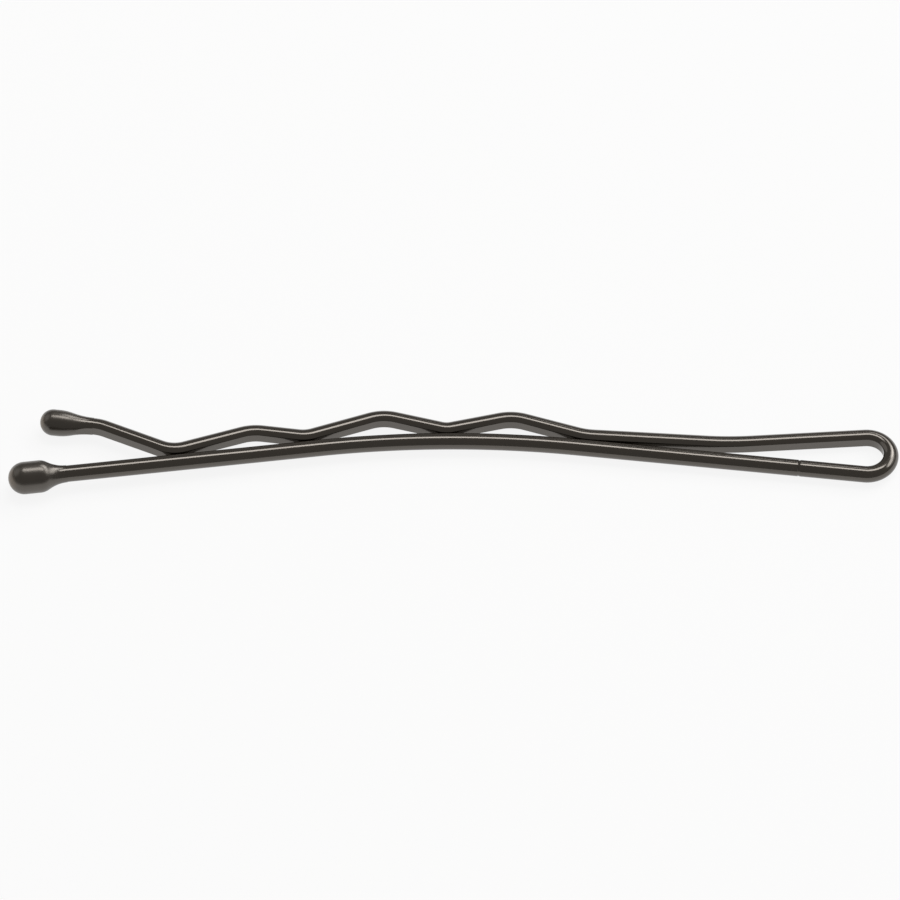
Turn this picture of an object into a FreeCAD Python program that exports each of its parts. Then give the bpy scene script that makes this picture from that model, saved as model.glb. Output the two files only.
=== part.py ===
"""Bobby pin: a bowed straight leg and a crimped leg, bent from one coated spring wire.

Frame, in millimetres: origin on the axis of the bend, halfway up the wire. +X runs from the tips to the
bend, +Y from the straight leg to the crimped leg, and +Z along the axis of the bend.
"""
import FreeCAD, Part
import math
import os
import Sketcher
from FreeCAD import Placement, Rotation, Vector

SIZES = [
    ("overall_length", 50.8, "end of the straight leg's tip to the outside of the bend"),
    ("wire_diameter", 0.95, "coated wire, across its round side"),
    ("wire_flat", 0.095, "depth rolled off the side that faces the other leg"),
    ("flat_edge_radius", 0.1, "rounding where the flat meets the round side"),
    ("bend_radius", 1.34, "axis of the bend to the middle of the wire"),
    ("straight_splay", 6.9, "angle of the straight leg where it leaves the bend"),
    ("bow_near", 16.7, "axis of the bend to the start of the bow, along X"),
    ("bow_far", 31.2, "axis of the bend to the end of the bow, along X"),
    ("bow_radius", 58.0, "middle of the wire along the bow"),
    ("waist_step", 7.85, "spacing along X from the axis of the bend to the waist"),
    ("waist_radius", 20.0, "middle of the wire along the waist"),
    ("waist_gap", 0.345, "clearance between the two legs at the waist"),
    ("trough_4_step", 7.47, "spacing along X from the waist to the trough"),
    ("trough_4_radius", 4.0, "middle of the wire along the trough"),
    ("trough_4_gap", 0.04, "clearance between the two legs at the trough"),
    ("crest_3_step", 5.03, "spacing along X from the trough before to the crest"),
    ("crest_3_radius", 2.6, "middle of the wire along the crest"),
    ("crest_3_rise", 1.66, "middle of the wire at the crest above the middle of the straight leg"),
    ("trough_3_step", 3.65, "spacing along X from the crest before to the trough"),
    ("trough_3_radius", 1.2, "middle of the wire along the trough"),
    ("trough_3_gap", 0.03, "clearance between the two legs at the trough"),
    ("crest_2_step", 3.58, "spacing along X from the trough before to the crest"),
    ("crest_2_radius", 2.4, "middle of the wire along the crest"),
    ("crest_2_rise", 1.77, "middle of the wire at the crest above the middle of the straight leg"),
    ("trough_2_step", 4.64, "spacing along X from the crest before to the trough"),
    ("trough_2_radius", 1.8, "middle of the wire along the trough"),
    ("trough_2_gap", 0.1, "clearance between the two legs at the trough"),
    ("crest_1_step", 2.67, "spacing along X from the trough before to the crest"),
    ("crest_1_radius", 2.6, "middle of the wire along the crest"),
    ("crest_1_rise", 1.57, "middle of the wire at the crest above the middle of the straight leg"),
    ("trough_1_step", 4.66, "spacing along X from the crest before to the trough"),
    ("trough_1_radius", 1.9, "middle of the wire along the trough"),
    ("trough_1_gap", 0.095, "clearance between the two legs at the trough"),
    ("tip_step", 6.935, "spacing along X from the last trough to the centre of the crimped leg's tip"),
    ("flare_radius", 2.2, "middle of the wire along the flare"),
    ("flare_angle", 7.0, "rise of the crimped leg's end run toward its tip"),
    ("flare_run", 0.05, "straight wire between the flare and the crimped leg's tip"),
    ("mouth_height", 4.08, "centre of the crimped leg's tip above the centre of the straight leg's"),
    ("crimped_tip_setback", 1.78, "how far the crimped leg's tip stops short of the straight leg's"),
    ("straight_tip_radius", 0.93, "round end of the straight leg's tip"),
    ("straight_tip_body", 0.86, "full-width length behind the round end"),
    ("straight_tip_taper", 1.56, "length over which the tip narrows to the wire"),
    ("straight_tip_shoulder", 0.95, "rounding at the wide end of the taper"),
    ("crimped_tip_radius", 0.755, "round end of the crimped leg's tip"),
    ("crimped_tip_body", 0.3, "full-width length behind the round end"),
    ("crimped_tip_taper", 2.0, "length over which the tip narrows to the wire"),
    ("crimped_tip_shoulder", 3.0, "rounding at the wide end of the taper"),
    ("tip_lip", 0.02, "wall of a tip where it ends on the wire"),
    ("tip_fade", 1.0, "length over which the wire's flat fades into the round of a tip"),
]

# The crimped leg's bends from the loop to the tip: the part of the straight leg that each is measured from,
# and the way that the wire turns in it, 1 to the left or -1 to the right
BENDS = [
    ("waist", "near_run", -1),
    ("trough_4", "near_run", -1),
    ("crest_3", "bow", 1),
    ("trough_3", "bow", -1),
    ("crest_2", "bow", 1),
    ("trough_2", "far_run", -1),
    ("crest_1", "far_run", 1),
    ("trough_1", "far_run", -1),
]

# The bends share out the crimped leg's length in proportion to these spacings
STEPS = [f"{name}_step" for name, seat, turn in BENDS] + ["tip_step"]

# Sizes that follow from the sheet, as text for expressions
WIRE_RADIUS = "Sizes.wire_diameter / 2"
FLAT_DEPTH = f"({WIRE_RADIUS} - Sizes.wire_flat)"
STRAIGHT_REACH = f"(Sizes.overall_length - Sizes.bend_radius - {WIRE_RADIUS} - Sizes.straight_tip_radius)"
CRIMPED_REACH = (f"({STRAIGHT_REACH} + Sizes.straight_tip_radius"
                 " - Sizes.crimped_tip_setback - Sizes.crimped_tip_radius)")
END_RUN = "(Sizes.crimped_tip_body + Sizes.crimped_tip_taper + Sizes.flare_run)"
STRAIGHT_FALL = "asin((Sizes.bow_far - Sizes.bow_near) / Sizes.bow_radius - sin(Sizes.straight_splay))"
STRAIGHT_START = "-90 deg - Sizes.straight_splay * 1 deg"
CRIMPED_START = "90 deg + asin(crimped_leg_wire_line.Constraints.start_along / (Sizes.bend_radius * 1 mm))"
ALL_STEPS = " + ".join(f"Sizes.{step}" for step in STEPS)

doc = FreeCAD.newDocument("BobbyPin")
sheet = doc.addObject("Spreadsheet::Sheet", "Sizes")
for row, (alias, value, meaning) in enumerate(SIZES, 1):
    sheet.set(f"A{row}", alias)
    sheet.set(f"B{row}", str(value))
    sheet.set(f"C{row}", meaning)
    sheet.setAlias(f"B{row}", alias)
doc.recompute()


def size(alias):
    return float(sheet.get(alias))


def slope(alias):
    return math.radians(size(alias))


wire_radius = size("wire_diameter") / 2
flat_depth = wire_radius - size("wire_flat")
straight_end = size("bend_radius") + wire_radius - size("overall_length")
straight_reach = -straight_end - size("straight_tip_radius")
crimped_reach = -straight_end - size("crimped_tip_setback") - size("crimped_tip_radius")
end_run = size("crimped_tip_body") + size("crimped_tip_taper") + size("flare_run")
straight_fall = math.asin((size("bow_far") - size("bow_near")) / size("bow_radius")
                          - math.sin(slope("straight_splay")))


def new_body(label):
    body = doc.addObject("PartDesign::Body", label)
    body.Label = label
    return body


def new_sketch(body, name, plane):
    sketch = body.newObject("Sketcher::SketchObject", f"{body.Name}_{name}")
    support = next(item for item in body.Origin.OriginFeatures if item.Role == plane)
    sketch.AttachmentSupport = (support, [""])
    sketch.MapMode = "FlatFace"
    return sketch


def tie(sketch, kind, *where):
    return sketch.addConstraint(Sketcher.Constraint(kind, *where))


def bind(sketch, name, expression, kind, *where):
    """Adds a named dimension to the sketch and ties it to the sheet."""
    sketch.renameConstraint(tie(sketch, kind, *where), name)
    sketch.setExpression(f"Constraints.{name}", expression)


def read(sketch, name, kind, *where):
    """Adds a named dimension that only reports what the sketch works out to."""
    index = tie(sketch, kind, *where)
    sketch.setDriving(index, False)
    sketch.renameConstraint(index, name)


def line(start, end):
    return Part.LineSegment(start, end)


def arc(centre, radius, start, end):
    while end <= start:
        end += 2 * math.pi
    return Part.ArcOfCircle(Part.Circle(centre, Vector(0, 0, 1), radius), start, end)


def draw_outline(sketch, at_bend):
    """Draws the wire's section: round, with a flat toward the sketch's -x."""
    edge = size("flat_edge_radius")
    middle = size("bend_radius") if at_bend else 0
    rise = math.sqrt((wire_radius - edge) ** 2 - (flat_depth - edge) ** 2)
    turn = math.pi - math.atan2(rise, flat_depth - edge)
    edge_x = middle - flat_depth + edge
    flat_x = middle - flat_depth
    round_side = sketch.addGeometry(arc(Vector(middle, 0), wire_radius, -turn, turn))
    upper_edge = sketch.addGeometry(arc(Vector(edge_x, rise), edge, turn, math.pi))
    face = sketch.addGeometry(line(Vector(flat_x, rise), Vector(flat_x, -rise)))
    lower_edge = sketch.addGeometry(arc(Vector(edge_x, -rise), edge, math.pi, -turn))
    tie(sketch, "Tangent", round_side, 2, upper_edge, 1)
    tie(sketch, "Tangent", upper_edge, 2, face, 1)
    tie(sketch, "Tangent", face, 2, lower_edge, 1)
    tie(sketch, "Tangent", lower_edge, 2, round_side, 1)
    tie(sketch, "Vertical", face)
    tie(sketch, "Equal", upper_edge, lower_edge)
    if at_bend:
        tie(sketch, "PointOnObject", round_side, 3, -1)
        bind(sketch, "middle", "Sizes.bend_radius", "DistanceX", -1, 1, round_side, 3, middle)
    else:
        tie(sketch, "Coincident", round_side, 3, -1, 1)
    bind(sketch, "round_side", WIRE_RADIUS, "Radius", round_side, wire_radius)
    bind(sketch, "edge", "Sizes.flat_edge_radius", "Radius", upper_edge, edge)
    bind(sketch, "flat", FLAT_DEPTH, "DistanceX", face, 1, round_side, 3, flat_depth)


def draw_section(body, expression):
    """Draws the wire's section on the plane through the bend's axis at which a leg leaves the bend."""
    sketch = new_sketch(body, "section", "XZ_Plane")
    sketch.AttachmentOffset = Placement(Vector(), Rotation(Vector(0, 1, 0), 90))
    sketch.setExpression("AttachmentOffset.Rotation.Angle", expression)
    draw_outline(sketch, True)
    return sketch


def draw_start(sketch, start):
    """Draws the radius of the bend at which a leg leaves it."""
    radius = sketch.addGeometry(line(Vector(), start), True)
    tie(sketch, "Coincident", radius, 1, -1, 1)
    bind(sketch, f"radius_{radius}", "Sizes.bend_radius", "Distance", radius, size("bend_radius"))
    return radius


def draw_straight_line(sketch, construction):
    """Draws the middle line of the straight leg: a run from the bend, the bow, and a run to the tip."""
    splay = slope("straight_splay")
    start = Vector(-math.sin(splay), -math.cos(splay)) * size("bend_radius")
    bow = size("bow_radius")
    near_x = -size("bow_near")
    near = Vector(near_x, start.y + (start.x - near_x) * math.tan(splay))
    centre = near - Vector(math.sin(splay), math.cos(splay)) * bow
    far = centre + Vector(-math.sin(straight_fall), math.cos(straight_fall)) * bow
    end = Vector(-straight_reach, far.y - (far.x + straight_reach) * math.tan(straight_fall))
    radius = draw_start(sketch, start)
    near_run = sketch.addGeometry(line(start, near), construction)
    bow_arc = sketch.addGeometry(arc(centre, bow, math.pi / 2 - splay, math.pi / 2 + straight_fall),
                                 construction)
    far_run = sketch.addGeometry(line(far, end), construction)
    tie(sketch, "Coincident", radius, 2, near_run, 1)
    tie(sketch, "Perpendicular", radius, near_run)
    tie(sketch, "Tangent", near_run, 2, bow_arc, 1)
    tie(sketch, "Tangent", bow_arc, 2, far_run, 1)
    bind(sketch, "straight_splay", "180 - Sizes.straight_splay", "Angle", near_run, math.pi - splay)
    bind(sketch, "bow_radius", "Sizes.bow_radius", "Radius", bow_arc, bow)
    bind(sketch, "bow_near", "Sizes.bow_near", "DistanceX", bow_arc, 1, -1, 1, size("bow_near"))
    bind(sketch, "bow_far", "Sizes.bow_far", "DistanceX", bow_arc, 2, -1, 1, size("bow_far"))
    bind(sketch, "straight_reach", STRAIGHT_REACH, "DistanceX", far_run, 2, -1, 1, straight_reach)
    if not construction:
        read(sketch, "tip_y", "DistanceY", -1, 1, far_run, 2, end.y)
    return near_run, bow_arc, far_run


def tangent_points(first, second):
    """Returns where the straight run between two bends leaves the first and meets the second."""
    gap = second["centre"] - first["centre"]
    shift = second["turn"] * second["radius"] - first["turn"] * first["radius"]
    heading = math.atan2(gap.y, gap.x) - math.asin(shift / gap.Length)
    left = Vector(-math.sin(heading), math.cos(heading))
    leave = first["centre"] - left * (first["turn"] * first["radius"])
    meet = second["centre"] - left * (second["turn"] * second["radius"])
    return leave, meet


def list_bends(near_run, bow, far_run, end):
    """Lists the crimped leg's bends with their places, from the loop to the flare before the tip."""
    bends = [{"turn": 1, "radius": size("bend_radius"), "centre": Vector()}]
    lengths = [size(step) for step in STEPS]
    for index, (name, seat, turn) in enumerate(BENDS, 1):
        radius = size(f"{name}_radius")
        x = -crimped_reach * sum(lengths[:index]) / sum(lengths)
        reach = " + ".join(f"Sizes.{step}" for step in STEPS[:index])
        reach = f"{CRIMPED_REACH} * ({reach}) / ({ALL_STEPS})"
        if turn > 0:
            above = size(f"{name}_rise") - radius
            seat_text = f"Sizes.{name}_rise - Sizes.{name}_radius"
        else:
            above = 2 * flat_depth + size(f"{name}_gap") + radius
            seat_text = f"2 * {FLAT_DEPTH} + Sizes.{name}_gap + Sizes.{name}_radius"
        if seat == "bow":
            y = bow.Center.y + math.sqrt((bow.Radius + above) ** 2 - (x - bow.Center.x) ** 2)
            above += bow.Radius
            seat_text = f"Sizes.bow_radius + {seat_text}"
        else:
            run = near_run if seat == "near_run" else far_run
            along = run.EndPoint - run.StartPoint
            rise = above * along.Length / -along.x
            y = run.StartPoint.y + (x - run.StartPoint.x) * along.y / along.x + rise
            if above < 0:
                seat_text = f"-({seat_text})"
        bends.append({"name": name, "turn": turn, "radius": radius, "centre": Vector(x, y), "seat": seat,
                      "reach": -x, "reach_text": reach, "above": abs(above), "seat_text": seat_text})
    flare = slope("flare_angle")
    radius = size("flare_radius")
    leave = end + Vector(math.cos(flare), -math.sin(flare)) * end_run
    centre = leave - Vector(math.sin(flare), math.cos(flare)) * radius
    bends.append({"name": "flare", "turn": 1, "radius": radius, "centre": centre, "leave": leave})
    return bends


def draw_crimped_line(sketch):
    """Draws the middle line of the crimped leg: bends joined by straight runs, troughs on the other leg."""
    near_run, bow_arc, far_run = draw_straight_line(sketch, True)
    straight = [sketch.Geometry[index] for index in (near_run, bow_arc, far_run)]
    end = Vector(-crimped_reach, straight[2].EndPoint.y + size("mouth_height"))
    bends = list_bends(*straight, end)
    leaves = []
    meets = []
    for one, other in zip(bends, bends[1:]):
        leave, meet = tangent_points(one, other)
        leaves.append(leave)
        meets.append(meet)
    leaves.append(bends[-1]["leave"])
    meets.append(end)
    radius = draw_start(sketch, leaves[0])
    runs = [sketch.addGeometry(line(*ends)) for ends in zip(leaves, meets)]
    tie(sketch, "Coincident", radius, 2, runs[0], 1)
    tie(sketch, "Perpendicular", radius, runs[0])
    seats = {"near_run": (near_run,), "bow": (bow_arc, 3), "far_run": (far_run,)}
    for bend, before, after, meet, leave in zip(bends[1:], runs, runs[1:], meets, leaves[1:]):
        name = bend["name"]
        spokes = [meet - bend["centre"], leave - bend["centre"]]
        angles = [math.atan2(spoke.y, spoke.x) for spoke in spokes][::bend["turn"]]
        curve = sketch.addGeometry(arc(bend["centre"], bend["radius"], *angles))
        into, out = (1, 2) if bend["turn"] > 0 else (2, 1)
        tie(sketch, "Tangent", before, 2, curve, into)
        tie(sketch, "Tangent", curve, out, after, 1)
        bind(sketch, f"{name}_radius", f"Sizes.{name}_radius", "Radius", curve, bend["radius"])
        if name != "flare":
            bind(sketch, f"{name}_reach", bend["reach_text"], "DistanceX", curve, 3, -1, 1, bend["reach"])
            bind(sketch, f"{name}_seat", bend["seat_text"],
                 "Distance", curve, 3, *seats[bend["seat"]], bend["above"])
    bind(sketch, "flare_angle", "180 - Sizes.flare_angle", "Angle", runs[-1], math.pi - slope("flare_angle"))
    bind(sketch, "end_run", END_RUN, "Distance", runs[-1], end_run)
    bind(sketch, "crimped_reach", CRIMPED_REACH, "DistanceX", runs[-1], 2, -1, 1, crimped_reach)
    bind(sketch, "mouth_height", "Sizes.mouth_height",
         "DistanceY", far_run, 2, runs[-1], 2, size("mouth_height"))
    read(sketch, "tip_y", "DistanceY", -1, 1, runs[-1], 2, end.y)
    read(sketch, "start_along", "DistanceX", runs[0], 1, -1, 1, -leaves[0].x)


def make_leg(label, side):
    """Sweeps the wire along one leg, from the bend into the tip."""
    body = new_body(label)
    middle = new_sketch(body, "line", "XY_Plane")
    if side < 0:
        draw_straight_line(middle, False)
    else:
        draw_crimped_line(middle)
    doc.recompute()
    section = draw_section(body, STRAIGHT_START if side < 0 else CRIMPED_START)
    doc.recompute()
    pipe = body.newObject("PartDesign::AdditivePipe", f"{label}_sweep")
    pipe.Profile = section
    pipe.Spine = (middle, [])
    pipe.Mode = "Standard"
    doc.recompute()
    return body


def make_bend(label):
    """Turns the wire round the axis of the bend, from one leg to the other."""
    body = new_body(label)
    section = draw_section(body, STRAIGHT_START)
    doc.recompute()
    turn = body.newObject("PartDesign::Revolution", f"{label}_turn")
    turn.Profile = section
    turn.ReferenceAxis = (section, ["V_Axis"])
    turn.setExpression("Angle", f"{CRIMPED_START} - ({STRAIGHT_START})")
    doc.recompute()
    return body


def draw_fade(sketch, profile, name, hollow):
    """Draws a cut that follows the wire's flat at the tip's rim and rises out of the tip's neck."""
    rim_x = size(f"{name}_body") + size(f"{name}_taper")
    neck = wire_radius + size("tip_lip")
    flat = flat_depth + size("tip_lip")
    fade = size("tip_fade")
    out = Vector(rim_x - fade, neck + hollow - math.sqrt(hollow ** 2 - fade ** 2))
    rise = out.y - flat
    radius = (fade ** 2 + rise ** 2) / (2 * rise)
    centre = Vector(rim_x, flat + radius)
    waist = sketch.addGeometry(Part.Circle(Vector(rim_x, neck + hollow), Vector(0, 0, 1), hollow), True)
    runs_out = sketch.addGeometry(Part.Point(out), True)
    curve = sketch.addGeometry(arc(centre, radius, math.pi, 1.5 * math.pi))
    rim = sketch.addGeometry(line(Vector(rim_x, flat), centre))
    top = sketch.addGeometry(line(centre, centre - Vector(radius, 0)))
    tie(sketch, "Coincident", curve, 2, rim, 1)
    tie(sketch, "Coincident", rim, 2, top, 1)
    tie(sketch, "Coincident", top, 2, curve, 1)
    tie(sketch, "Coincident", curve, 3, rim, 2)
    tie(sketch, "Vertical", rim)
    tie(sketch, "Horizontal", top)
    tie(sketch, "Vertical", waist, 3, rim, 1)
    tie(sketch, "PointOnObject", runs_out, 1, waist)
    tie(sketch, "PointOnObject", runs_out, 1, curve)
    neck_text = f"{WIRE_RADIUS} + Sizes.tip_lip"
    hollow_text = f"{profile.Name}.Constraints.hollow"
    bind(sketch, "hollow", hollow_text, "Radius", waist, hollow)
    bind(sketch, "hollow_lift", f"({neck_text}) * 1 mm + {hollow_text}",
         "DistanceY", -1, 1, waist, 3, neck + hollow)
    bind(sketch, "flat", f"{FLAT_DEPTH} + Sizes.tip_lip", "DistanceY", -1, 1, rim, 1, flat)
    bind(sketch, "rim", f"Sizes.{name}_body + Sizes.{name}_taper", "DistanceX", -1, 1, rim, 1, rim_x)
    bind(sketch, "fade", "Sizes.tip_fade", "DistanceX", runs_out, 1, rim, 1, fade)


def make_tip(label, name, flat_side):
    """Makes a teardrop over the end of a leg, round end toward -X, with a socket for the wire."""
    body = new_body(label)
    profile = new_sketch(body, "profile", "XY_Plane")
    radius = size(f"{name}_radius")
    length = size(f"{name}_body")
    taper = size(f"{name}_taper")
    shoulder = size(f"{name}_shoulder")
    neck = wire_radius + size("tip_lip")
    drop = radius - neck
    hollow = (taper ** 2 + drop ** 2) / (2 * drop) - shoulder
    swing = math.atan2(taper, shoulder + hollow - drop)
    shoulder_at = Vector(length, radius - shoulder)
    hollow_at = Vector(length + taper, neck + hollow)
    top = Vector(0, radius)
    join = shoulder_at + Vector(math.sin(swing), math.cos(swing)) * shoulder
    nose = profile.addGeometry(arc(Vector(), radius, math.pi / 2, math.pi))
    side = profile.addGeometry(line(top, Vector(length, radius)))
    bulge = profile.addGeometry(arc(shoulder_at, shoulder, math.pi / 2 - swing, math.pi / 2))
    waist = profile.addGeometry(arc(hollow_at, hollow, 1.5 * math.pi - swing, 1.5 * math.pi))
    rim = profile.addGeometry(line(Vector(length + taper, neck), Vector(length + taper, 0)))
    axis = profile.addGeometry(line(Vector(length + taper, 0), Vector(-radius, 0)))
    tie(profile, "Coincident", nose, 3, -1, 1)
    tie(profile, "Tangent", nose, 1, side, 1)
    tie(profile, "Horizontal", side)
    tie(profile, "Tangent", side, 2, bulge, 2)
    tie(profile, "Tangent", bulge, 1, waist, 1)
    tie(profile, "Coincident", waist, 2, rim, 1)
    tie(profile, "Vertical", waist, 3, waist, 2)
    tie(profile, "Vertical", rim)
    tie(profile, "Coincident", rim, 2, axis, 1)
    tie(profile, "Coincident", axis, 2, nose, 2)
    tie(profile, "PointOnObject", axis, 1, -1)
    tie(profile, "PointOnObject", axis, 2, -1)
    bind(profile, "radius", f"Sizes.{name}_radius", "Radius", nose, radius)
    bind(profile, "body", f"Sizes.{name}_body", "DistanceX", side, 1, side, 2, length)
    bind(profile, "taper", f"Sizes.{name}_taper", "DistanceX", side, 2, rim, 1, taper)
    bind(profile, "shoulder", f"Sizes.{name}_shoulder", "Radius", bulge, shoulder)
    bind(profile, "neck", f"{WIRE_RADIUS} + Sizes.tip_lip", "DistanceY", rim, 2, rim, 1, neck)
    read(profile, "hollow", "Radius", waist, hollow)
    doc.recompute()
    drop_shape = body.newObject("PartDesign::Revolution", f"{label}_drop")
    drop_shape.Profile = profile
    drop_shape.ReferenceAxis = (profile, ["H_Axis"])
    drop_shape.Angle = 360
    doc.recompute()
    fade = new_sketch(body, "fade", "XY_Plane")
    if flat_side < 0:
        fade.AttachmentOffset = Placement(Vector(), Rotation(Vector(1, 0, 0), 180))
    draw_fade(fade, profile, name, hollow)
    doc.recompute()
    cut = body.newObject("PartDesign::Pocket", f"{label}_flat")
    cut.Profile = fade
    cut.Type = "ThroughAll"
    cut.Midplane = True
    doc.recompute()
    socket = new_sketch(body, "socket", "YZ_Plane")
    if flat_side > 0:
        socket.AttachmentOffset = Placement(Vector(), Rotation(Vector(0, 0, 1), 180))
    draw_outline(socket, False)
    doc.recompute()
    hole = body.newObject("PartDesign::Pocket", f"{label}_hole")
    hole.Profile = socket
    hole.Type = "ThroughAll"
    hole.Reversed = True
    doc.recompute()
    return body


parts = [
    make_leg("straight_leg_wire", -1),
    make_leg("crimped_leg_wire", 1),
    make_bend("spring_bend_wire"),
]

straight_tip = make_tip("straight_leg_tip", "straight_tip", 1)
straight_tip.Placement = Placement(Vector(-straight_reach, 0, 0), Rotation(Vector(0, 0, 1), 5))
straight_tip.setExpression("Placement.Base.x", f"-{STRAIGHT_REACH}")
straight_tip.setExpression("Placement.Base.y", "straight_leg_wire_line.Constraints.tip_y")
straight_tip.setExpression("Placement.Rotation.Angle", STRAIGHT_FALL)

crimped_tip = make_tip("crimped_leg_tip", "crimped_tip", -1)
crimped_tip.Placement = Placement(Vector(-crimped_reach, 0, 0), Rotation(Vector(0, 0, -1), 5))
crimped_tip.setExpression("Placement.Base.x", f"-{CRIMPED_REACH}")
crimped_tip.setExpression("Placement.Base.y", "crimped_leg_wire_line.Constraints.tip_y")
crimped_tip.setExpression("Placement.Rotation.Angle", "Sizes.flare_angle")
parts += [straight_tip, crimped_tip]
doc.recompute()

for item in doc.Objects:
    if "Invalid" in item.State or "Error" in item.State:
        raise RuntimeError(f"{item.Label} did not build: {item.State}")
    if item.TypeId == "Sketcher::SketchObject" and not item.FullyConstrained:
        raise RuntimeError(f"{item.Label} is not fully fixed by its dimensions")

os.makedirs("parts", exist_ok=True)
for body in parts:
    shape = body.Shape
    if shape.isNull() or not shape.isValid() or len(shape.Solids) != 1:
        raise RuntimeError(f"{body.Label} is not one sound solid")
    shape.exportStep(f"parts/{body.Label}.step")
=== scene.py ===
"""Bobby pin on a white sweep: the coated wire and its two dipped tips, made as a wire former would.

Sizes are in millimetres in the pin's own frame: origin on the axis of the loop, +X from the tips to the
loop, +Y from the straight leg to the crimped leg, +Z up. Meshes are scaled to metres as they are finished.
"""
import math

import bmesh
import bpy
from mathutils import Matrix, Vector


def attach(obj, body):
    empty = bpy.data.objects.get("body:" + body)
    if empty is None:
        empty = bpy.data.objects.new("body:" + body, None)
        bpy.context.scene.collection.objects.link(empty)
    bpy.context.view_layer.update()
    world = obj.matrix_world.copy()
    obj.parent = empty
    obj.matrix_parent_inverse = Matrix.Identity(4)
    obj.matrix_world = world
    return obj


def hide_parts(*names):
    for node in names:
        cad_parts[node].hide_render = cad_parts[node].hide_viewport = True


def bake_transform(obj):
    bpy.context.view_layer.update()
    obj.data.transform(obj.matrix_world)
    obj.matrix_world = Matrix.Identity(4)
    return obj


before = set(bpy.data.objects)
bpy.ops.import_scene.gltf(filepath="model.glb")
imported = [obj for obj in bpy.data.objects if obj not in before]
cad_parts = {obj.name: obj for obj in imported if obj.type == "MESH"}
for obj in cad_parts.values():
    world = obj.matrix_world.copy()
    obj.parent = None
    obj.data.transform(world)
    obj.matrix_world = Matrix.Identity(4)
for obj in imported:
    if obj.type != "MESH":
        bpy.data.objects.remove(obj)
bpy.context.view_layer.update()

MM = 0.001
UP = Vector((0, 0, 1))

# The wire: a round with a flat, whose two edges are rounded off over a short length
OVERALL_LENGTH = 50.8
WIRE_RADIUS = 0.475
FLAT_DEPTH = 0.38
FLAT_EDGE = 0.06
BEND_RADIUS = 1.34

# The straight leg
STRAIGHT_SPLAY = math.radians(6.9)
BOW_NEAR = 16.7
BOW_FAR = 31.2
BOW_RADIUS = 58.0

# The crimped leg's bends from the loop on: spacing along X, radius, which way the wire turns (1 is left),
# the stretch of the straight leg below, and the height of the wire's middle above that leg's middle
BENDS = [
    (7.85, 20.0, -1, "near", 2 * FLAT_DEPTH + 0.345),
    (7.47, 4.0, -1, "near", 2 * FLAT_DEPTH + 0.04),
    (5.03, 2.6, 1, "bow", 1.66),
    (3.65, 1.2, -1, "bow", 2 * FLAT_DEPTH + 0.03),
    (3.58, 2.4, 1, "bow", 1.77),
    (4.64, 1.8, -1, "far", 2 * FLAT_DEPTH + 0.1),
    (2.67, 2.6, 1, "far", 1.57),
    (4.66, 1.9, -1, "far", 2 * FLAT_DEPTH + 0.095),
]
TIP_STEP = 6.935
FLARE_RADIUS = 2.2
FLARE_ANGLE = math.radians(7.0)
FLARE_RUN = 0.05
MOUTH_HEIGHT = 4.08
TIP_SETBACK = 1.78

# The tips: round end, full-width length, taper and the rounding at the wide end of the taper, then how far
# the neck stands off the wire and how far from its rim the flat fades out
STRAIGHT_TIP = {"radius": 0.93, "body": 0.86, "taper": 1.56, "shoulder": 0.95}
CRIMPED_TIP = {"radius": 0.755, "body": 0.3, "taper": 2.0, "shoulder": 3.0}
TIP_LIP = 0.02
TIP_FADE = 1.0

# A tool mark across the straight leg, its distance from the loop measured along the wire, and the share of
# its length that slopes in before the wire steps back out
NICK_PLACE = 3.65
NICK_LENGTH = 0.15
NICK_DEPTH = 0.032
NICK_SLOPE = 0.8

# How finely the wire and the tips are divided, how close points are welded, and the angle of a sharp edge
ROUND_SEGMENTS = 56
EDGE_SEGMENTS = 4
RUN_STEP = 0.25
BEND_STEP = 0.12
TIP_SEGMENTS = 72
TIP_STEPS = (20, 14, 18)
WELD_DISTANCE = 1e-5
SHARP_ANGLE = math.radians(50)

# The coat: colours, gloss, and the ripple in its surface
BLACK = (0.006, 0.005, 0.004, 1)
WARM_BLACK = (0.014, 0.010, 0.006, 1)
# Brown for the tips' ends: worn lacquer, and also a painted sheen in place of light from the left
WEAR_AND_SHEEN_BROWN = (0.10, 0.065, 0.03, 1)
WARM_SHEEN = (1.0, 0.92, 0.83, 1)
COAT_ROUGHNESS = 0.1
CLOUD_ROUGHNESS = 0.06
TIP_ROUGHNESS = 0.16
COAT_IOR = 2.0
RIPPLE_STRENGTH = 0.35
RIPPLE_HEIGHT = 0.003

# How fine the coat's patterns are, in repeats to the metre, and how far the edge of the tips' brown ends
# strays
CLOUD_SCALE = 420
WEAR_AND_SHEEN_SCALE = 1500
RIPPLE_SCALE = 1100
WEAR_AND_SHEEN_STRAY = 0.6

# The floor: half its width in metres, its colour, and the share of it that shows as plain white
FLOOR_REACH = 1.5
FLOOR_COLOUR = (0.9, 0.9, 0.9, 1)
FLOOR_WHITE = 0.88

# The lit panels: the place they face and how far off they hang, in metres, then for each panel its name,
# direction, width and depth in degrees as seen from that place, and radiance
PANEL_CENTRE = Vector((-0.0235, 0, 0))
PANEL_DISTANCE = 0.6
KEY_LEAN = math.radians(18)
PANELS = [
    ("overhead_key", (0.09, math.sin(KEY_LEAN), math.cos(KEY_LEAN)), 40, 19, 4.5),
    ("key_end", (0.64, 0.37, 0.67), 54, 22, 3.0),
    ("back_panel", (0.33, 0.66, 0.675), 34, 18, 3.0),
    ("side_panel", (-0.75, 0.3, 0.55), 50, 40, 0.45),
    ("side_panel", (0.75, 0.3, 0.55), 50, 40, 0.45),
]
ROOM_COLOUR = (0.26, 0.255, 0.247, 1)

# The camera: lens, sensor and aim in millimetres, height as an angle, distance and near limit in metres
CAMERA_LENS = 1000
CAMERA_SENSOR = 36
CAMERA_AIM = Vector((-23.79, 0.45, 0))
CAMERA_HEIGHT = math.radians(51)
CAMERA_DISTANCE = 1.427
CAMERA_NEAR = 0.01


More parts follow.
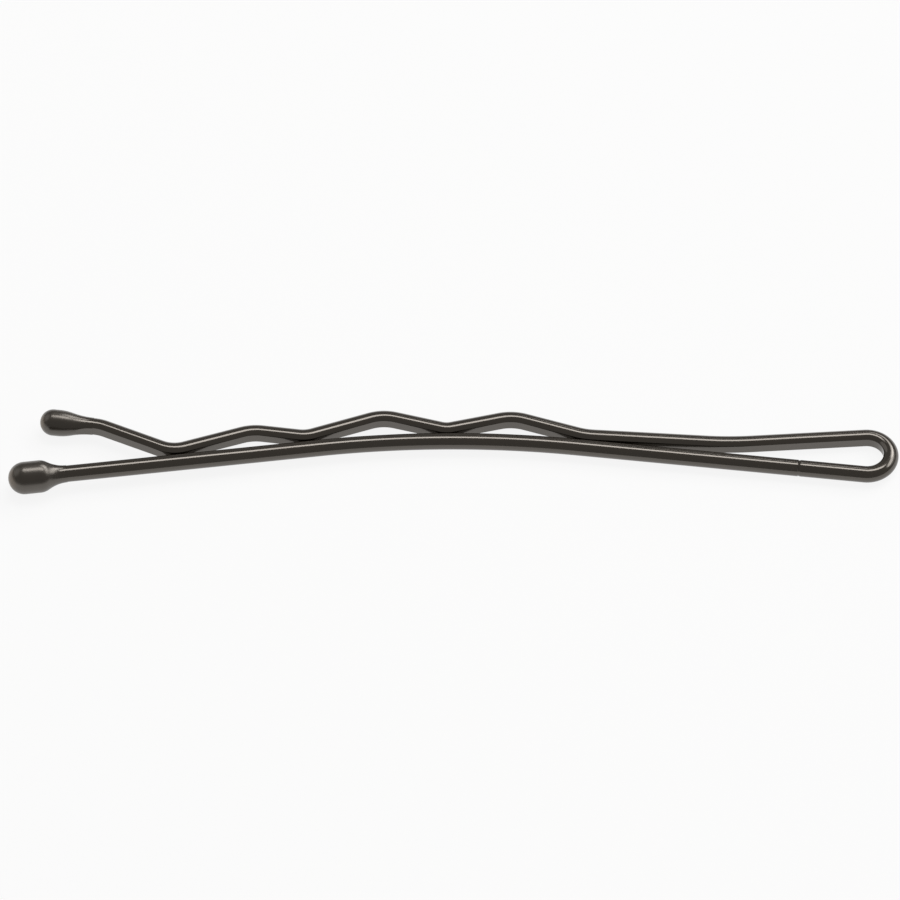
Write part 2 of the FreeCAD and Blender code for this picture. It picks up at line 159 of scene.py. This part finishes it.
class Leg:
    """The middle line of a leg: where it starts, which way it heads, and its runs and bends in order."""

    def __init__(self, start, heading):
        self.start = start
        self.heading = heading
        self.moves = []

    def run(self, length):
        self.moves.append(("run", length, 0))

    def bend(self, radius, angle):
        self.moves.append(("bend", radius, angle))

    def nick(self, length, thinning):
        self.moves.append(("nick", length, thinning))


def direction(angle):
    return Vector((math.cos(angle), math.sin(angle), 0))


def left_of(heading):
    return Vector((-heading.y, heading.x, 0))


straight_end_x = BEND_RADIUS + WIRE_RADIUS - OVERALL_LENGTH + STRAIGHT_TIP["radius"]
crimped_end_x = straight_end_x - STRAIGHT_TIP["radius"] + TIP_SETBACK + CRIMPED_TIP["radius"]
straight_fall = math.asin((BOW_FAR - BOW_NEAR) / BOW_RADIUS - math.sin(STRAIGHT_SPLAY))
straight_start = BEND_RADIUS * direction(math.pi * 1.5 - STRAIGHT_SPLAY)
near_end = straight_start + direction(math.pi - STRAIGHT_SPLAY) * (
    (BOW_NEAR + straight_start.x) / math.cos(STRAIGHT_SPLAY))
bow_centre = near_end + left_of(direction(math.pi - STRAIGHT_SPLAY)) * BOW_RADIUS
far_start = bow_centre + direction(math.pi / 2 + straight_fall) * BOW_RADIUS
far_length = (far_start.x - straight_end_x) / math.cos(straight_fall)
straight_end = far_start + direction(math.pi + straight_fall) * far_length
crimped_end = Vector((crimped_end_x, straight_end.y + MOUTH_HEIGHT, 0))


def straight_leg():
    leg = Leg(straight_start, math.pi - STRAIGHT_SPLAY)
    leg.run(NICK_PLACE)
    leg.nick(NICK_LENGTH, 1 - NICK_DEPTH / WIRE_RADIUS)
    leg.run((near_end - straight_start).length - NICK_PLACE - NICK_LENGTH)
    leg.bend(BOW_RADIUS, STRAIGHT_SPLAY + straight_fall)
    leg.run(far_length)
    return leg


def above_straight_leg(x, stretch, height):
    """The point at x that lies this far from the middle line of the straight leg."""
    if stretch == "bow":
        reach = BOW_RADIUS + height
        return Vector((x, bow_centre.y + math.sqrt(reach ** 2 - (x - bow_centre.x) ** 2), 0))
    if stretch == "near":
        foot, rise = near_end, -math.tan(STRAIGHT_SPLAY)
    else:
        foot, rise = far_start, math.tan(straight_fall)
    return Vector((x, foot.y + (x - foot.x) * rise + height * math.hypot(1, rise), 0))


def crimped_leg():
    """Joins the loop, the bends and the flare by straight runs that touch each of them."""
    spacing = [row[0] for row in BENDS]
    scale = crimped_end_x / (sum(spacing) + TIP_STEP)
    circles = [(Vector(), BEND_RADIUS)]
    for index, (step, radius, turn, stretch, height) in enumerate(BENDS, 1):
        x = scale * sum(spacing[:index])
        circles.append((above_straight_leg(x, stretch, height - turn * radius), turn * radius))
    end_run = CRIMPED_TIP["body"] + CRIMPED_TIP["taper"] + FLARE_RUN
    end_heading = math.pi - FLARE_ANGLE
    flare_end = crimped_end - direction(end_heading) * end_run
    circles.append((flare_end + left_of(direction(end_heading)) * FLARE_RADIUS, FLARE_RADIUS))

    headings = []
    points = []
    for (centre, radius), (next_centre, next_radius) in zip(circles, circles[1:]):
        gap = next_centre - centre
        heading = math.atan2(gap.y, gap.x) - math.asin((next_radius - radius) / gap.length)
        heading %= 2 * math.pi
        left = left_of(direction(heading))
        headings.append(heading)
        points.append((centre - left * radius, next_centre - left * next_radius))
    headings.append(end_heading)
    points.append((flare_end, crimped_end))

    leg = Leg(points[0][0], headings[0])
    leg.run((points[0][1] - points[0][0]).length)
    radii = [radius for centre, radius in circles[1:]]
    for radius, before, after, (leave, meet) in zip(radii, headings, headings[1:], points[1:]):
        leg.bend(abs(radius), after - before)
        leg.run((meet - leave).length)
    return leg


def draw_section(bm, place, heading, flat_side):
    """Draws the wire's section across the heading, flat to the left (1) or right (-1). Returns its edges."""
    bmesh.ops.create_circle(bm, cap_ends=True, segments=ROUND_SEGMENTS, radius=WIRE_RADIUS)
    bmesh.ops.bisect_plane(bm, geom=bm.verts[:] + bm.edges[:] + bm.faces[:],
                           plane_co=(-FLAT_DEPTH, 0, 0), plane_no=(-1, 0, 0), clear_outer=True)
    corners = sorted(bm.verts, key=lambda v: v.co.x)[:2]
    bmesh.ops.bevel(bm, geom=corners, offset=FLAT_EDGE, affect="VERTICES", segments=EDGE_SEGMENTS,
                    profile=0.5, material=-1)
    bmesh.ops.delete(bm, geom=bm.faces[:], context="FACES_ONLY")
    across = left_of(direction(heading)) * -flat_side
    turn = Matrix((across, UP, across.cross(UP))).transposed().to_4x4()
    bmesh.ops.transform(bm, matrix=Matrix.Translation(place) @ turn, verts=bm.verts[:])
    return bm.edges[:]


def pull_wire(bm, ring, step, scale=1.0):
    """Pulls the wire on by a step from its last section, thinner or thicker. Returns the new edges."""
    old = {vert for edge in ring for vert in edge.verts}
    middle = sum((vert.co for vert in old), Vector()) / len(old)
    made = bmesh.ops.extrude_edge_only(bm, edges=ring)["geom"]
    new = [item for item in made if isinstance(item, bmesh.types.BMVert)]
    bmesh.ops.translate(bm, vec=step, verts=new)
    bmesh.ops.scale(bm, vec=(scale, scale, scale), space=Matrix.Translation(-middle - step), verts=new)
    return [item for item in made if isinstance(item, bmesh.types.BMEdge) and not old & set(item.verts)]


def form_wire(leg, flat_side):
    """Runs and bends the section along the leg, as a wire former does, and closes both ends."""
    bm = bmesh.new()
    first = ring = draw_section(bm, leg.start, leg.heading, flat_side)
    place = leg.start.copy()
    heading = leg.heading
    for kind, length, amount in leg.moves:
        forward = direction(heading)
        if kind == "run":
            steps = max(1, math.ceil(length / RUN_STEP))
            for _ in range(steps):
                ring = pull_wire(bm, ring, forward * (length / steps))
            place += forward * length
        elif kind == "nick":
            mark = list(ring)
            ring = pull_wire(bm, ring, forward * (length * NICK_SLOPE), amount)
            mark += ring
            ring = pull_wire(bm, ring, forward * (length * (1 - NICK_SLOPE)), 1 / amount)
            for edge in mark + ring:
                edge.smooth = False
            place += forward * length
        else:
            side = math.copysign(1, amount)
            centre = place + left_of(forward) * (side * length)
            steps = max(3, math.ceil(length * abs(amount) / BEND_STEP))
            made = bmesh.ops.spin(bm, geom=ring, cent=centre, axis=UP, angle=amount, steps=steps)["geom_last"]
            ring = [item for item in made if isinstance(item, bmesh.types.BMEdge)]
            heading += amount
            place = centre - left_of(direction(heading)) * (side * length)
    for end in (first, ring):
        bmesh.ops.contextual_create(bm, geom=end)
        for edge in end:
            edge.smooth = False
    bmesh.ops.recalc_face_normals(bm, faces=bm.faces[:])
    return bm


def form_tip(shape, place, heading, flat_side):
    """Turns the teardrop's outline round the wire's line and fades the wire's flat into its neck."""
    bm = bmesh.new()
    radius, body, taper, shoulder = (shape[key] for key in ("radius", "body", "taper", "shoulder"))
    neck = WIRE_RADIUS + TIP_LIP
    drop = radius - neck
    hollow = (taper ** 2 + drop ** 2) / (2 * drop) - shoulder
    swing = math.atan2(taper, shoulder + hollow - drop)
    outline = [
        (Vector((0, 0, 0)), -math.pi / 2),
        (Vector((body, radius - shoulder, 0)), -swing),
        (Vector((body + taper, neck + hollow, 0)), swing),
    ]
    point = bm.verts.new((-radius, 0, 0))
    for index, (centre, angle) in enumerate(outline):
        made = bmesh.ops.spin(bm, geom=[point], cent=centre, axis=UP, angle=angle,
                              steps=TIP_STEPS[index])["geom_last"]
        point = next(item for item in made if isinstance(item, bmesh.types.BMVert))
        if index == 0:
            made = bmesh.ops.extrude_vert_indiv(bm, verts=[point])["verts"]
            bmesh.ops.translate(bm, vec=(body, 0, 0), verts=made)
            point = made[0]
    rim = bmesh.ops.extrude_vert_indiv(bm, verts=[point])["verts"]
    bmesh.ops.translate(bm, vec=(0, -neck, 0), verts=rim)
    bmesh.ops.spin(bm, geom=bm.verts[:] + bm.edges[:], cent=(0, 0, 0), axis=(1, 0, 0), angle=2 * math.pi,
                   steps=TIP_SEGMENTS, use_merge=True)
    bmesh.ops.remove_doubles(bm, verts=bm.verts[:], dist=WELD_DISTANCE)
    bmesh.ops.recalc_face_normals(bm, faces=bm.faces[:])
    for edge in bm.edges:
        edge.smooth = edge.calc_face_angle(0) < SHARP_ANGLE

    flat = FLAT_DEPTH + TIP_LIP
    rise = neck + hollow - math.sqrt(hollow ** 2 - TIP_FADE ** 2) - flat
    fade = (TIP_FADE ** 2 + rise ** 2) / (2 * rise)
    for vert in bm.verts:
        from_rim = body + taper - vert.co.x
        if from_rim < fade:
            depth = flat + fade - math.sqrt(fade ** 2 - from_rim ** 2)
            vert.co.y = flat_side * min(flat_side * vert.co.y, depth)
    turn = Matrix.Rotation(heading - math.pi, 4, "Z")
    bmesh.ops.transform(bm, matrix=Matrix.Translation(place) @ turn, verts=bm.verts[:])
    return bm


def finish_piece(name, bm, material, node):
    """Makes the piece's object in metres, with its finish, in place of its CAD node."""
    bmesh.ops.scale(bm, vec=(MM, MM, MM), verts=bm.verts[:])
    for face in bm.faces:
        face.smooth = True
    mesh = bpy.data.meshes.new(name)
    bm.to_mesh(mesh)
    bm.free()
    mesh.materials.append(material)
    piece = bpy.data.objects.new(name, mesh)
    bpy.context.collection.objects.link(piece)
    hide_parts(node)
    return piece


class Socket:
    """A shader value. Python's operators on it add Math nodes."""

    def __init__(self, paint, socket):
        self.paint = paint
        self.socket = socket

    def math(self, operation, *values):
        return self.paint.node("ShaderNodeMath", {"operation": operation}, dict(enumerate(values)))

    def __add__(self, other):
        return self.math("ADD", self, other)

    def __radd__(self, other):
        return self.math("ADD", other, self)

    def __sub__(self, other):
        return self.math("SUBTRACT", self, other)

    def __mul__(self, other):
        return self.math("MULTIPLY", self, other)

    def __rmul__(self, other):
        return self.math("MULTIPLY", other, self)


class Paint:
    """A material and its nodes."""

    def __init__(self, name):
        self.material = bpy.data.materials.new(name)
        self.material.use_nodes = True
        self.tree = self.material.node_tree
        self.tree.nodes.clear()

    def node(self, kind, settings, inputs, output=0):
        """Adds a node with its settings and its sockets' values or links. Returns one of its outputs."""
        node = self.tree.nodes.new(kind)
        for key, value in settings.items():
            setattr(node, key, value)
        for key, value in inputs.items():
            if isinstance(value, Socket):
                self.tree.links.new(value.socket, node.inputs[key])
            else:
                node.inputs[key].default_value = value
        return Socket(self, node.outputs[output]) if len(node.outputs) else node

    def output(self, shader):
        self.node("ShaderNodeOutputMaterial", {}, {"Surface": shader})
        return self.material


def mix_colours(paint, factor, one, other):
    return paint.node("ShaderNodeMix", {"data_type": "RGBA"}, {0: factor, 6: one, 7: other}, 2)


def noise(paint, place, scale, detail):
    return paint.node("ShaderNodeTexNoise", {}, {"Vector": place, "Scale": scale, "Detail": detail})


def stretched(paint, place, amounts):
    return paint.node("ShaderNodeMapping", {}, {"Vector": place, "Scale": amounts})


def fade_along(paint, along, start, end):
    """A factor that goes smoothly from 0 to 1 between two places along X."""
    return paint.node("ShaderNodeMapRange", {"interpolation_type": "SMOOTHSTEP"},
                      {"Value": along, "From Min": start * MM, "From Max": end * MM})


def glossy_coat(name, tip=None, tip_x=0):
    """Glossy warm black over steel. On a tip it is softer than on the wire and brown at the end, as worn
    lacquer with a painted sheen of light from the left.
    """
    paint = Paint(name)
    place = paint.node("ShaderNodeTexCoord", {}, {}, 3)
    cloud = noise(paint, place, CLOUD_SCALE, 3)
    colour = mix_colours(paint, cloud, BLACK, WARM_BLACK)
    roughness = COAT_ROUGHNESS + CLOUD_ROUGHNESS * cloud
    if tip:
        along = paint.node("ShaderNodeSeparateXYZ", {}, {"Vector": place})
        # Brown at the tip's end: worn lacquer, and partly a painted sheen standing in for light from the left
        patches = noise(paint, place, WEAR_AND_SHEEN_SCALE, 2)
        wear_and_sheen = fade_along(paint, along + (patches - 0.5) * (WEAR_AND_SHEEN_STRAY * MM),
                          tip_x - 0.55 * tip["radius"], tip_x - tip["radius"])
        colour = mix_colours(paint, wear_and_sheen, colour, WEAR_AND_SHEEN_BROWN)
        shoulder_x = tip_x + tip["body"]
        soft = fade_along(paint, along, shoulder_x + tip["taper"], shoulder_x + 0.4 * tip["taper"])
        roughness = roughness + TIP_ROUGHNESS * soft
    flow = noise(paint, stretched(paint, place, (0.3, 1, 1)), RIPPLE_SCALE, 2)
    ripple = paint.node("ShaderNodeBump", {}, {
        "Strength": RIPPLE_STRENGTH,
        "Distance": RIPPLE_HEIGHT * MM,
        "Height": flow,
    })
    shader = paint.node("ShaderNodeBsdfPrincipled", {}, {
        "Base Color": colour,
        "Roughness": roughness,
        "IOR": COAT_IOR,
        "Specular Tint": WARM_SHEEN,
        "Normal": ripple,
    })
    return paint.output(shader)


def make_pin():
    enamel = glossy_coat("black_enamel")
    straight_lacquer = glossy_coat("straight_tip_lacquer", STRAIGHT_TIP, straight_end.x)
    crimped_lacquer = glossy_coat("crimped_tip_lacquer", CRIMPED_TIP, crimped_end.x)

    straight = straight_leg()
    crimped = crimped_leg()
    wire = form_wire(straight, -1)
    wire = finish_piece("straight_leg", wire, enamel, "straight_leg_wire")
    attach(wire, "straight_leg")
    wire = form_wire(crimped, 1)
    wire = finish_piece("crimped_leg", wire, enamel, "crimped_leg_wire")
    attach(wire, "crimped_leg")

    loop = Leg(straight.start, straight.heading + math.pi)
    loop.bend(BEND_RADIUS, (crimped.heading - loop.heading) % (2 * math.pi))
    wire = form_wire(loop, 1)
    wire = finish_piece("loop", wire, enamel, "spring_bend_wire")
    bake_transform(wire)

    tip = form_tip(STRAIGHT_TIP, straight_end, math.pi + straight_fall, 1)
    tip = finish_piece("straight_tip", tip, straight_lacquer, "straight_leg_tip")
    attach(tip, "straight_leg")
    tip = form_tip(CRIMPED_TIP, crimped_end, math.pi - FLARE_ANGLE, -1)
    tip = finish_piece("crimped_tip", tip, crimped_lacquer, "crimped_leg_tip")
    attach(tip, "crimped_leg")


def make_floor():
    """A white sweep under the three places that the pin rests on: its two tips and the loop."""
    straight_foot = straight_end - UP * STRAIGHT_TIP["radius"]
    crimped_foot = crimped_end - UP * CRIMPED_TIP["radius"]
    loop_foot = Vector((BEND_RADIUS, 0, -WIRE_RADIUS))
    normal = (straight_foot - loop_foot).cross(crimped_foot - loop_foot).normalized()
    if normal.z < 0:
        normal = -normal
    bm = bmesh.new()
    bmesh.ops.create_grid(bm, x_segments=1, y_segments=1, size=FLOOR_REACH)
    turn = normal.to_track_quat("Z", "Y").to_matrix().to_4x4()
    bmesh.ops.transform(bm, matrix=Matrix.Translation(loop_foot * MM) @ turn, verts=bm.verts[:])
    mesh = bpy.data.meshes.new("floor")
    bm.to_mesh(mesh)
    bm.free()
    paint = Paint("white_sweep")
    matt = paint.node("ShaderNodeBsdfDiffuse", {}, {"Color": FLOOR_COLOUR})
    seen = paint.node("ShaderNodeLightPath", {}, {}, "Is Camera Ray")
    seen = seen + paint.node("ShaderNodeLightPath", {}, {}, "Is Glossy Ray")
    seen = seen + paint.node("ShaderNodeLightPath", {}, {}, "Is Transmission Ray")
    white = paint.node("ShaderNodeEmission", {}, {"Color": (1, 1, 1, 1), "Strength": 1.0})
    shader = paint.node("ShaderNodeMixShader", {}, {0: seen * FLOOR_WHITE, 1: matt, 2: white})
    mesh.materials.append(paint.output(shader))
    floor = bpy.data.objects.new("floor", mesh)
    bpy.context.collection.objects.link(floor)


def softbox(name, toward, width, depth, radiance):
    """Hangs a lit panel off the pin's middle, in a direction, as wide and deep as seen from the pin."""
    lamp = bpy.data.lights.new(name, "AREA")
    lamp.shape = "ELLIPSE"
    lamp.size = 2 * PANEL_DISTANCE * math.tan(math.radians(width) / 2)
    lamp.size_y = 2 * PANEL_DISTANCE * math.tan(math.radians(depth) / 2)
    area = math.pi / 4 * lamp.size * lamp.size_y
    lamp.energy = radiance * math.pi * area
    panel = bpy.data.objects.new(name, lamp)
    toward = Vector(toward).normalized()
    panel.location = PANEL_CENTRE + toward * PANEL_DISTANCE
    panel.rotation_euler = toward.to_track_quat("Z", "Y").to_euler()
    bpy.context.collection.objects.link(panel)


def make_lights():
    """A long softbox overhead, dimmer panels beyond the loop and behind it, side panels and a dim room."""
    for panel in PANELS:
        softbox(*panel)

    world = bpy.data.worlds.new("dim_room")
    bpy.context.scene.world = world
    world.use_nodes = True
    world.node_tree.nodes["Background"].inputs["Color"].default_value = ROOM_COLOUR


def make_camera():
    lens = bpy.data.cameras.new("camera")
    lens.lens = CAMERA_LENS
    lens.sensor_width = CAMERA_SENSOR
    lens.clip_start = CAMERA_NEAR
    camera = bpy.data.objects.new("camera", lens)
    back = Vector((0, -math.cos(CAMERA_HEIGHT), math.sin(CAMERA_HEIGHT)))
    camera.location = CAMERA_AIM * MM + back * CAMERA_DISTANCE
    camera.rotation_euler = back.to_track_quat("Z", "Y").to_euler()
    bpy.context.collection.objects.link(camera)
    bpy.context.scene.camera = camera


make_pin()
make_floor()
make_lights()
make_camera()
bpy.context.scene.view_settings.view_transform = "Standard"
